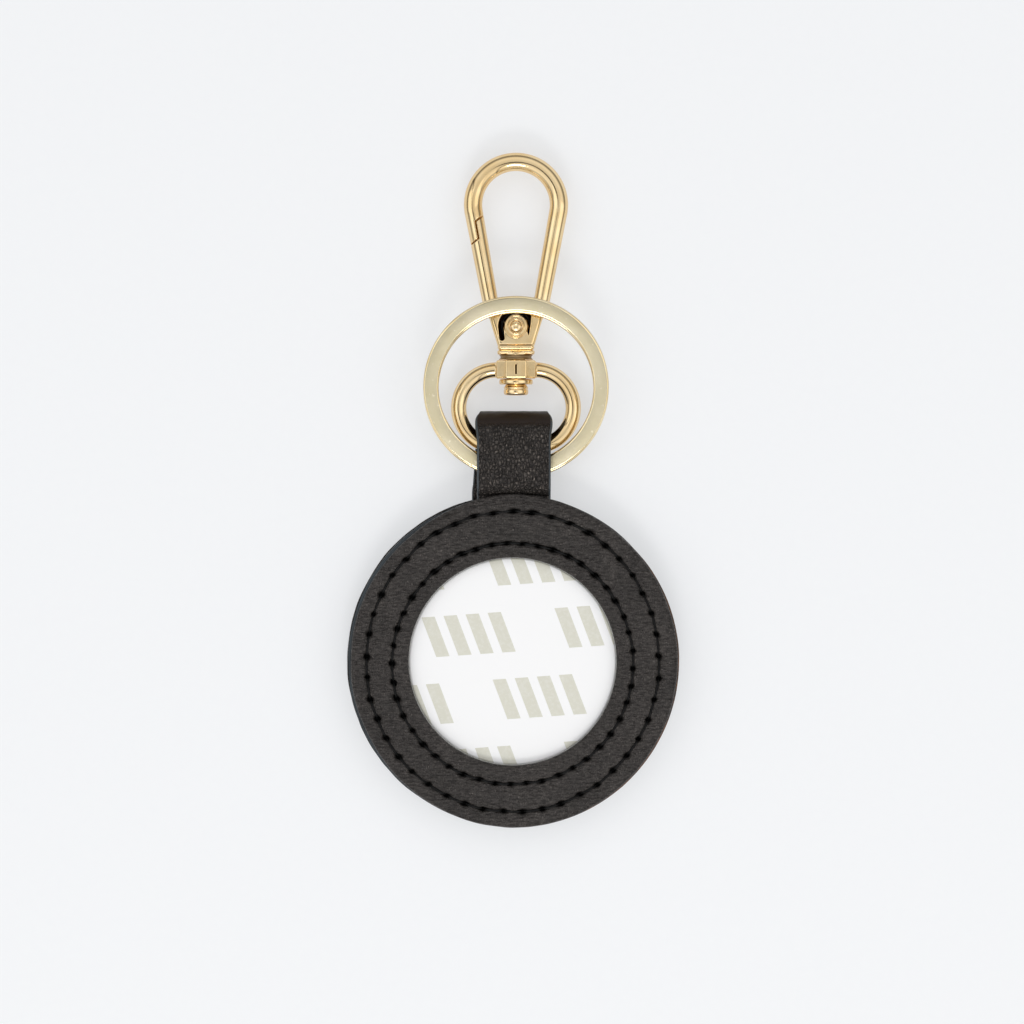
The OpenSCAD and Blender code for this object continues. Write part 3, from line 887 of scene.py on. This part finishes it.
def make_strap():
    """The strap with rounded edges: narrow at the fold, wider below it, its rear layer leaning."""
    path = strap_path()
    step = np.gradient(path, axis=0)
    step /= np.linalg.norm(step, axis=1)[:, None]
    normal = np.stack([-step[:, 1], step[:, 0]], axis=1)
    corner = 0.42
    half_w, half_t = STRAP_W / 2, STRAP_T / 2
    flat_w, flat_t = half_w - corner, half_t - corner
    xs = np.linspace(-flat_w, flat_w, 60)
    section = [(x, half_t, 1.0) for x in xs]
    section += bend(flat_w, flat_t, corner, (76, 40, 0), 0.3)
    section += bend(flat_w, -flat_t, corner, (0, -30, -60))
    section += [(x, -half_t, 0.0) for x in xs[::-1][::6]]
    section += bend(-flat_w, -flat_t, corner, (-120, -150, 180))
    section += bend(-flat_w, flat_t, corner, (180, 140, 104), 0.3)
    section = np.array(section)
    count, around = len(path), len(section)
    share = np.linspace(0, 1, count)
    lean = -REAR_LEAN * smooth_step((share - 0.55) / 0.35)
    rows = []
    for i in range(count):
        y = path[i, 0] + normal[i, 0] * section[:, 1]
        z = path[i, 1] + normal[i, 1] * section[:, 1]
        from_top = FOLD_Y - half_t - path[i, 0]
        flare = 1 + 0.05 * math.exp(-((from_top - 1.6) / 1.6) ** 2)
        flare -= 0.075 * math.exp(-(from_top / 0.5) ** 2)
        x = STRAP_X + section[:, 0] * flare + lean[i]
        rows.append(np.stack([x, y, z], axis=1))
    verts = np.concatenate(rows)
    bumps = wobble(verts, 1.1, 3.3) * 0.035 + wobble(verts, 4.0, 8.1) * 0.05
    weight = np.tile(section[:, 2], count)
    outside = np.repeat(smooth_step((path[:, 0] - TAG_R) / 1.5), around)
    push = (bumps - 0.04) * weight * outside
    verts[:, 1:] += np.repeat(normal, around, axis=0) * push[:, None]
    obj = add_mesh("strap", verts, tube_faces(count, around), strap_leather)
    obj.data.materials.append(strap_edge)
    rims = np.abs(section[:, 0]) > half_w - 0.8 * corner
    on_rim = np.tile(rims & np.roll(rims, -1), count - 1).tolist() + [True, True]
    obj.data.polygons.foreach_set("material_index", np.array(on_rim, dtype=np.int32))
    obj.data.flip_normals()
    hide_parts("strap_loop")
    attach(obj, "tag")


def make_stitches(name, node, row):
    """Three-ply thread, one short length from hole to hole, on the front and on the back."""
    around, along = 15, 22
    front_face = (TOP_Z - 0.3, 1, 0.5)
    back_face = (back.low[2] + 0.32, -1, 0.3)
    start, reach = 0.08, 0.84
    ply_depth, twist = 0.13, 13
    up = np.array([0, 0, 1])
    verts, faces = [], []
    count = len(row.holes)
    for face_z, out, sink in (front_face, back_face):
        for i in range(count):
            faces += tube_faces(along, around, len(verts))
            end = (i + 1) % count
            gap = math.remainder(row.holes[end] - row.holes[i], 2 * math.pi)
            swell = 1 + rng.uniform(-0.06, 0.06)
            phase = rng.uniform(0, 2 * math.pi)
            for t in np.linspace(0, 1, along):
                angle = row.holes[i] + gap * (start + reach * t)
                arch = 1 - (2 * t - 1) ** 6
                r = row.at(angle) + row.off[i] * (1 - t) + row.off[end] * t
                z = face_z + out * (0.1 * math.sin(math.pi * t) - sink * (1 - arch))
                side = np.array([math.cos(angle), math.sin(angle), 0])
                size = THREAD_R * swell * (0.75 + 0.25 * arch)
                for phi in circle(around):
                    ply = 1 + ply_depth * math.cos(3 * phi + twist * t + phase)
                    verts.append(r * side + z * up
                                 + size * ply * (math.cos(phi) * side + math.sin(phi) * up))
    obj = add_mesh(name, np.array(verts), faces, thread)
    obj.data.flip_normals()
    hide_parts(node)
    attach(obj, "tag")


def make_liner():
    """Thin paper whose upper face has a faint wave."""
    turns = 360
    low, high = liner.low[2], liner.high[2]
    outer = liner.size[0] / 2
    r = MIDDLE_ROWS + list(np.linspace(CENTRE_R, outer - 0.03, 60))
    radii = np.array(r + [outer] + r[::-1])
    above = (high - low) * np.array([0.0] * len(r) + [0.5] + [1.0] * len(r))
    a, rr = np.meshgrid(circle(turns), radii, indexing="ij")
    verts = polar(rr, a, np.zeros_like(a))
    wave = (wobble(verts, 7.0, 2.2).reshape(rr.shape) - 1) * 0.012
    verts[:, 2] = (low + above + wave * (above > 0)).ravel()
    obj = add_mesh("liner_sheet", verts, grid_faces(turns, len(radii), True), paper)
    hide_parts("release_liner")
    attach(obj, "liner")


# ---- hardware

def make_key_ring():
    """Flat wire wound twice: it steps from the upper turn to the lower inside the strap."""
    steps = 1000
    bevel_degrees = np.array([0, 22, 45, 68, 90])
    gap = 0.04
    turn_t = RING_T / 2 - gap / 2
    bevel = 0.3
    half_w, half_t = RING_W / 2, turn_t / 2
    section = []
    for cx, cz, start in ((1, 1, 0), (-1, 1, 90), (-1, -1, 180), (1, -1, 270)):
        section += bend(cx * (half_w - bevel), cz * (half_t - bevel), bevel,
                        start + bevel_degrees)
    section = np.array(section)[:, :2]
    n = len(section)
    mid_r = RING_R - half_w
    begin = math.radians(-90 - 9)
    sweep = 4 * math.pi - math.radians(2)
    crossing = math.radians(17)
    share = np.linspace(0, 1, steps)
    angle = begin + sweep * share
    passed = angle - (begin + 2 * math.pi - crossing)
    down = smooth_step(passed / crossing)
    level = (half_t + gap / 2) * (1 - 2 * down)
    rows = []
    uvs = []
    around = np.arange(n) / n
    for a, z, k, d in zip(angle, level, share, down):
        r = mid_r + section[:, 0]
        y = r * math.sin(a) + RING_SLIP * (0.6 - 1.6 * float(d))
        rows.append(np.stack([r * math.cos(a), y, z + section[:, 1]], axis=1))
        uvs.append(np.stack([np.full(n, k * 4), section[:, 0] * 0.1 + around * 0.02], axis=1))
    x, y, z = np.concatenate(rows).T
    c, s = math.cos(RING_TILT), math.sin(RING_TILT)
    verts = np.stack([x, y * c - z * s, y * s + z * c], axis=1) + ring.mid
    obj = add_mesh("key_ring_wire", verts, tube_faces(steps, n), ring_gold,
                   uvs=np.concatenate(uvs))
    # The bevel faces get the paler copy: a painted highlight.
    obj.data.materials.append(ring_bevel_highlight)
    per_corner = len(bevel_degrees)
    on_bevel = [k % per_corner != per_corner - 1 for k in range(n)]
    index = np.array(on_bevel * (steps - 1) + [False, False], dtype=np.int32)
    obj.data.polygons.foreach_set("material_index", index)
    obj.data.flip_normals()
    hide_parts("split_ring")
    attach(obj, "ring")


def from_axis(p):
    """X and Z from the swivel's axis, and the distance from it."""
    x = p[:, 0] - AXIS_X
    z = p[:, 2] - AXIS_Z
    return x, z, np.hypot(x, z)


def from_pin(p):
    """X and Y from the gate's pin, and the distance from it."""
    x = p[:, 0] - PIN[0]
    y = p[:, 1] - PIN[1]
    return x, y, np.hypot(x, y)


def eye_field(p):
    """Oval wire loop with a square barrel across its top, chamfered along its corners."""
    x, z, radial = from_axis(p)
    y = p[:, 1]
    along = np.maximum(np.abs(x) - EYE_HALF, 0)
    wire = np.hypot(np.hypot(along, y - EYE_Y) - EYE_END_R, z) - EYE_WIRE
    half = (BARREL_HIGH - BARREL_LOW) / 2
    chamfer = (np.abs(x) + np.abs(z)) / math.sqrt(2) - 3.48
    flats = smooth_max(np.maximum(np.abs(x) - 3.2, np.abs(z) - BARREL_R), chamfer, 0.06)
    barrel = slab(flats, y - BARREL_MID, half, 0.32)
    belt = slab(flats + 0.12, y - BARREL_MID, half, 0.1)
    body = smooth_min(wire, np.minimum(barrel, belt), 0.3)
    slit = np.maximum(np.maximum(np.abs(x) - 0.13, np.abs(y - BARREL_MID) - 0.8), 1.3 - z)
    return smooth_max(smooth_max(body, STEM_BORE_R - radial, 0.1), -slit, 0.04)


def eye_slit(p):
    """True inside the slit in the barrel's front, which gets painted shade."""
    x, z, radial = from_axis(p)
    return (radial < 3.12) & (np.abs(x) < 0.3) & (np.abs(p[:, 1] - 47.5) < 1.0) & (z > 1.0)


def washer_field(p):
    radial = from_axis(p)[2]
    rim = slab(radial - washer.size[0] / 2, p[:, 1] - washer.mid[1], washer.size[1] / 2, 0.28)
    return smooth_max(rim, STEM_BORE_R - radial, 0.08)


def stem_field(p):
    """Shank with a collar and a grooved head, the head's end hollowed."""
    radial = from_axis(p)[2]
    y = p[:, 1] - stem.low[1]
    head = slab(radial - 2.0, y - 0.75, 0.75, 0.42)
    collar = slab(radial - 1.75, y - 1.1, 0.6, 0.1)
    shank = slab(radial - 1.45, p[:, 1] - stem.mid[1], stem.size[1] / 2, 0.05)
    groove = np.hypot(radial - 2.02, y - 0.98) - 0.12
    peen = np.hypot(radial, y + 1.5) - 1.75
    shape = smooth_min(smooth_min(head, collar, 0.12), shank, 0.08)
    return smooth_max(smooth_max(shape, -groove, 0.1), -peen, 0.1)


TIP = np.array([ARC_R * math.cos(HOOK_LEAN), ARC_Y - ARC_R * math.sin(HOOK_LEAN)])


def leg_ends(side, foot_y):
    """Middle of a leg's foot and of its top, where the arc begins."""
    run = (TIP[1] - foot_y) * math.tan(HOOK_LEAN)
    foot = np.array([AXIS_X + side * (TIP[0] - run), foot_y, AXIS_Z])
    top = np.array([AXIS_X + side * TIP[0], TIP[1], AXIS_Z])
    return foot, top


def leg_local(p):
    """Places across and along the left leg, from its middle line and the start of the arc."""
    x = p[:, 0] - (AXIS_X - TIP[0])
    y = p[:, 1] - TIP[1]
    c, s = math.cos(HOOK_LEAN), math.sin(HOOK_LEAN)
    return x * c + y * s, -x * s + y * c


STEP_MID = -2.95
STEP_RUN = 1.4
STEP_RISE = 0.8
STEP_GAP = 0.13


def lap(z):
    """How much further the nose reaches below the middle plane, under the gate's tip."""
    return 0.45 * smooth_step(-z / 0.4 - 0.2)


def nose_side(p, grow):
    """Negative on the nose's side of the stepped joint between hook and gate."""
    u, v = leg_local(p)
    rise = STEP_RISE / HOOK_WIRE
    slant = math.hypot(1, rise)
    above_upper = (STEP_MID + STEP_RUN + np.maximum(u, 0) * rise - grow - v) / slant
    above_lower = (STEP_MID - STEP_RUN + np.minimum(u, 0) * rise - grow - v) / slant
    return np.minimum(above_upper, np.maximum(u - grow, above_lower))


def hook_room(p):
    """Plan of the hollow in the hook's body: round the gate's hub and open towards the gate."""
    x, y, radial = from_pin(p)
    mouth = outline(x, y, [(-1.9, 0.35), (-8, 3), (-8, 6.2), (1.6, 6.2), (1.6, 1.6)])
    tail = np.hypot(x + 2.33, y + 1.6) - 0.5
    return np.minimum(np.minimum(mouth, radial - HUB_ROOM_R), tail)


def hook_inside(p):
    """How much painted shade a point gets: full in the hollow round the gate's hub, partly so in
    the groove of the neck.
    """
    hollow = (hook_room(p) < 0.1) & (np.abs(p[:, 2] - AXIS_Z) < 1.75) & (p[:, 1] < PIN[1] + 2.6)
    groove = (p[:, 1] < 49.9) & (p[:, 1] > 49.15)
    return np.where(hollow, 1.0, np.where(groove, 0.58, 0.0))


def hook_field(p):
    return hook_cuts(p, smooth_min(hook_loop(p), hook_body(p), 0.9))


def hook_loop(p):
    """The right leg, the arc, and the nose that the gate closes against."""
    x, z, _ = from_axis(p)
    y = p[:, 1]
    right = cut_rod(p, *leg_ends(1, RIGHT_FOOT_Y), LEG_R, HOOK_WIRE)
    angle = np.arctan2(y - ARC_Y, x)
    from_top = np.abs(np.mod(angle + math.pi / 2, 2 * math.pi) - math.pi)
    bow = np.hypot(np.hypot(x, y - ARC_Y) - ARC_R, z) - HOOK_WIRE
    bow = np.where(from_top <= math.pi / 2 + HOOK_LEAN, bow, FAR)
    left = cut_rod(p, *leg_ends(-1, NOSE_FOOT_Y), LEG_R + 0.02, HOOK_WIRE)
    nose = smooth_max(left, nose_side(p, lap(z) - STEP_GAP), 0.1)
    return np.minimum(np.minimum(right, bow), nose)


def hook_body(p):
    """The flat body, which widens upwards from the neck."""
    x, z, _ = from_axis(p)
    y = p[:, 1]
    widening = 0.305
    sides = (np.abs(x) - (3.05 + (y - 51.6) * widening)) / math.hypot(1, widening)
    plan = smooth_max(smooth_max(sides, BODY_LOW - y, 0.6), y - BODY_HIGH, 1.4)
    return slab(plan, z, BODY_HALF_T, 0.62)


def hook_neck(p):
    """Two square ribs on a block, above a round neck with a groove."""
    x, z, radial = from_axis(p)
    y = p[:, 1]
    block = slab(slab(np.abs(x) - 2.7, z, 2.25, 0.5), y - 50.8, 0.85, 0.05)
    neck = slab(radial - 2.8, y - 49.7, 0.6, 0.05)
    neck = smooth_max(neck, 0.34 - np.hypot(radial - 2.86, y - 49.54), 0.05)
    ribs = []
    for low, high, half_w, half_t in ((49.95, 50.6, 3.04, 2.6), (50.68, 51.5, 2.98, 2.62)):
        plate = slab(np.abs(x) - half_w, z, half_t, 0.6)
        half = (high - low) / 2
        ribs.append(slab(plate, y - (low + high) / 2, half, half - 0.02))
    return np.minimum(block, neck), np.minimum(*ribs)


def hook_cuts(p, shape):
    """Adds the neck and the boss round the rivet, and takes away what is hollow."""
    z = from_axis(p)[1]
    px, py, radial = from_pin(p)
    for part in hook_neck(p):
        shape = smooth_min(shape, part, 0.08)
    boss = slab(radial - 1.87, z - BODY_HALF_T + 0.3, 0.62, 0.2)
    race = np.hypot(radial - 1.52, z - BODY_HALF_T - 0.36) - 0.17
    shape = smooth_max(smooth_min(shape, boss, 0.1), -race, 0.08)
    shape = smooth_max(shape, -slab(hook_room(p), z, 1.4, 0.05), 0.12)
    shape = smooth_max(shape, -crescent(px, py, radial, z), 0.12)
    stem_bore = np.maximum(from_axis(p)[2] - STEM_BORE_R, p[:, 1] - 51.4)
    return np.maximum(np.maximum(shape, -stem_bore), PIN_BORE_R - radial)


def crescent(x, y, radial, z):
    """The window in the body's front, round the left of the rivet and down to a tail."""
    left_arc = np.maximum(radial - 2.9, np.maximum(x - 0.6, -0.2 - y))
    corner = outline(x, y, [(-1.7, 2.25), (2.5, 2.25), (2.38, 0.5), (2.1, -1.5), (1.5, 0),
                            (-1.7, 0)])
    window = np.maximum(np.minimum(left_arc, corner), 2.0 - radial)
    along = np.clip((-0.2 - y) / 1.7, 0, 1)
    tail = np.hypot(x + 2.45 - 0.17 * along, y + 0.2 + 1.7 * along) - 0.43
    return np.maximum(np.minimum(window, tail), -1.2 - z)


def gate_field(p):
    """The left leg's lower part, with a hub round the rivet joined to it by an arm."""
    z = from_axis(p)[1]
    x, y, radial = from_pin(p)
    leg = cut_rod(p, *leg_ends(-1, GATE_FOOT_Y), LEG_R, HOOK_WIRE)
    leg = smooth_max(leg, -nose_side(p, lap(z) + STEP_GAP), 0.1)
    arm = outline(x, y, [(-2.1, 0.85), (-4.2, 1.75), (-5.0, 3.4), (-2.5, 3.6), (-1.2, 2.1),
                         (0, 2.2)])
    root = slab(smooth_min(radial - HUB_R, arm, 0.3), z, 1.22, 0.35)
    seat = slab(radial - 1.7, z, 1.32, 0.1)
    spring_room = np.maximum(np.maximum(radial - 2.85, 1.7 - radial), 0.1 - z)
    shape = np.minimum(smooth_min(leg, root, 0.5), seat)
    return np.maximum(smooth_max(shape, -spring_room, 0.1), PIN_BORE_R - radial)


def rivet_field(p):
    """Shank between two heads; the front one is a ring round a dome with a dimple."""
    radial = from_pin(p)[2]
    z = p[:, 2] - rivet.high[2]
    head_t = 0.25
    dome_r = 1.02
    shank = slab(radial - 0.9, p[:, 2] - rivet.mid[2], rivet.size[2] / 2 - 0.02, 0.1)
    front_head = slab(radial - 1.3, z + head_t / 2, head_t / 2, 0.1)
    rear_head = slab(radial - 1.2, p[:, 2] - rivet.low[2] - head_t / 2, head_t / 2, 0.12)
    groove = np.hypot(radial - dome_r, z + 0.05) - 0.17
    dome = np.where(radial < dome_r, np.hypot(radial, z + 1.5) - 1.5, -1.0)
    dimple = np.hypot(radial, z - 0.3) - 0.5
    shape = smooth_min(shank, np.minimum(front_head, rear_head), 0.06)
    shape = np.maximum(smooth_max(shape, -groove, 0.04), dome)
    return smooth_max(shape, -dimple, 0.06)


def make_spring():
    """Torsion spring: nearly two and a half turns of round wire about the rivet."""
    around, steps = 12, 220
    wire_r, coil_r = 0.22, 2.28
    turns = 2.4
    room = 0.02
    rise = spring.size[2] - 2 * (wire_r + room)
    t = np.linspace(0, 1, steps)
    angle = math.radians(-30) + 2 * math.pi * turns * t
    path = polar(coil_r, angle, spring.low[2] + wire_r + room + rise * t) + (*PIN, 0)
    step = np.gradient(path, axis=0)
    step /= np.linalg.norm(step, axis=1)[:, None]
    phi = circle(around)[:, None]
    rows = []
    for centre, along in zip(path, step):
        side = np.cross(along, (0, 0, 1))
        side /= np.linalg.norm(side)
        up = np.cross(side, along)
        rows.append(centre + wire_r * (np.cos(phi) * side + np.sin(phi) * up))
    obj = add_mesh("torsion_spring", np.concatenate(rows), tube_faces(steps, around), dark_steel)
    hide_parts("gate_spring")
    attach(obj, "hook")


def make_hardware():
    fine = 0.11
    solid("swivel_eye_cast", eye_field, eye, fine, polished, "eye", "swivel_eye", eye_slit)
    solid("swivel_washer_turned", washer_field, washer, 0.08, polished, "hook", "swivel_washer")
    # The stem's shank inside the barrel gets painted shade.
    solid("swivel_stem_turned", stem_field, stem, 0.08, rivet_gold, "hook", "swivel_stem",
          lambda p: p[:, 1] > BARREL_LOW + 0.1)
    solid("hook_cast", hook_field, hook, fine, polished, "hook", "hook_body", hook_inside)
    # The gate's hub, inside the hook's hollow, gets painted shade.
    solid("gate_cast", gate_field, gate, 0.1, gate_gold, "gate", "gate",
          lambda p: from_pin(p)[2] < HUB_ROOM_R)
    solid("gate_rivet_head", rivet_field, rivet, 0.07, rivet_gold, "hook", "gate_rivet")


# ---- CAD nodes that stay

def dress_cad_nodes():
    """Gives each CAD node that is shown as it is its own look: name, colour and surface."""
    looks = {
        "adhesive_disc": ("acrylic_adhesive", (0.86, 0.86, 0.82), 0.3, 0.0, 0.8),
        "module_rear_case": ("case_plastic", (0.8, 0.8, 0.8), 0.5, 0.0, 0.3),
        "module_front_cover": ("cover_plastic", (0.84, 0.84, 0.84), 0.45, 0.0, 0.3),
        "module_seal": ("seal_rubber", (0.03, 0.03, 0.03), 0.7, 0.0, 0.3),
        "circuit_board": ("solder_mask", (0.01, 0.12, 0.05), 0.35, 0.0, 0.5),
        "coin_cell": ("cell_can", (0.6, 0.6, 0.62), 0.3, 1.0, 0.3),
        "cell_contact_top": ("plated_contact", (0.78, 0.66, 0.4), 0.25, 1.0, 0.3),
        "cell_contact_bottom": ("plated_leaf", (0.78, 0.66, 0.4), 0.3, 1.0, 0.3),
        "piezo_sounder": ("sounder_disc", (0.75, 0.55, 0.25), 0.3, 1.0, 0.3),
        "radio_chip": ("chip_epoxy", (0.02, 0.02, 0.02), 0.6, 0.0, 0.2),
        "crystal": ("crystal_lid", (0.6, 0.6, 0.6), 0.3, 1.0, 0.2),
        "chip_antenna": ("antenna_body", (0.75, 0.75, 0.7), 0.5, 0.0, 0.2),
    }
    for name, look in looks.items():
        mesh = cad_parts[name].data
        if mesh.materials:
            mesh.materials[0] = plain(*look)
        else:
            mesh.materials.append(plain(*look))


# ---- stage

def make_floor():
    size = 0.9
    s = Shader("pale_floor", (0.5, 0.5, 0.5), 0.6)
    fibre = s.noise(1.5, 3.0)
    s.set("Base Color", s.mix(fibre, (0.425, 0.43, 0.44), (0.44, 0.445, 0.45)))
    s.set("Emission Color", (0.97, 0.985, 1.0))
    s.set("Emission Strength", 0.475)
    mesh = bpy.data.meshes.new("floor")
    mesh.from_pydata([(-size, -size, 0), (size, -size, 0), (size, size, 0), (-size, size, 0)],
                     [], [(0, 1, 2, 3)])
    mesh.materials.append(s.material)
    floor = bpy.data.objects.new("floor", mesh)
    floor.location.z = -0.0002
    bpy.context.scene.collection.objects.link(floor)


def area_light(name, place, target, size, power, color):
    data = bpy.data.lights.new(name, "AREA")
    data.shape = "RECTANGLE"
    data.size, data.size_y = size
    data.energy = power
    data.color = color
    light = bpy.data.objects.new(name, data)
    light.location = place
    aim = Vector(target) - Vector(place)
    light.rotation_euler = aim.to_track_quat("-Z", "Y").to_euler()
    bpy.context.scene.collection.objects.link(light)


def make_lights():
    centre = (0, 0.025, 0)
    area_light("left_softbox", (-0.65, 0.15, 0.7), centre, (0.4, 0.9), 0.5, (0.92, 0.97, 1.0))
    area_light("right_softbox", (0.65, 0.0, 0.7), centre, (0.35, 0.9), 0.42, (1.0, 0.98, 0.94))
    area_light("near_softbox", (0.0, -0.55, 0.65), centre, (0.32, 0.16), 1.3, (1.0, 0.995, 0.98))


def make_world():
    """A pale dome, brighter low down on the near side, with dark patches the metal mirrors."""
    by_height = [(0.0, 0.5), (0.2, 0.27), (0.4, 0.3), (0.54, 0.8), (0.72, 1.0), (0.86, 0.93),
                 (0.95, 0.84), (1.0, 0.78)]
    stripe = [(0.15, 1.0), (0.18, 0.35), (0.215, 0.35), (0.25, 1.0)]
    spots = [(-0.14, -0.03, 1.0), (0.02, -0.16, 1.0)]
    spot_rim, spot_core = math.cos(math.radians(8)), math.cos(math.radians(4))
    world = bpy.data.worlds.new("studio")
    bpy.context.scene.world = world
    world.use_nodes = True
    w = Nodes(world.node_tree)
    direction = w.node("ShaderNodeTexCoord").outputs["Generated"]
    _, y, z = w.split(direction)
    near = w.math("MULTIPLY", y, -0.75, clamp=True)
    low = w.math("SUBTRACT", 1.0, z, clamp=True)
    sky = w.mix(1.0, w.ramp(z, by_height, blue=1.01), w.math("MULTIPLY", near, low), "ADD")
    for spot in spots:
        inside = w.spread(w.along(direction, spot), spot_rim, spot_core)
        sky = w.mix(inside, sky, (0.1, 0.09, 0.08))
    sky = w.mix(1.0, sky, w.ramp(w.along(direction, (-1, -1, 0)), stripe), "MULTIPLY")
    background = w.tree.nodes["Background"]
    w.put(sky, background.inputs["Color"])
    w.put(1.0, background.inputs["Strength"])


def make_camera():
    """Straight down; the view is 167 mm wide at the height of the hook's wire."""
    height, width = 0.65, 0.167
    middle = (-0.0001, 0.0243)
    data = bpy.data.cameras.new("camera")
    data.sensor_width = 36.0
    data.lens = data.sensor_width * height / width
    data.clip_start = 0.01
    camera = bpy.data.objects.new("camera", data)
    camera.location = (*middle, height + AXIS_Z * MM)
    bpy.context.scene.collection.objects.link(camera)
    bpy.context.scene.camera = camera


make_camera()
make_lights()
make_world()
make_floor()
make_front_ring()
make_back_disc()
make_core()
make_strap()
make_stitches("outer_stitch_row", "outer_stitching", OUTER_ROW)
make_stitches("inner_stitch_row", "inner_stitching", INNER_ROW)
make_liner()
make_key_ring()
make_spring()
make_hardware()
dress_cad_nodes()

scene = bpy.context.scene
scene.view_settings.view_transform = "Standard"
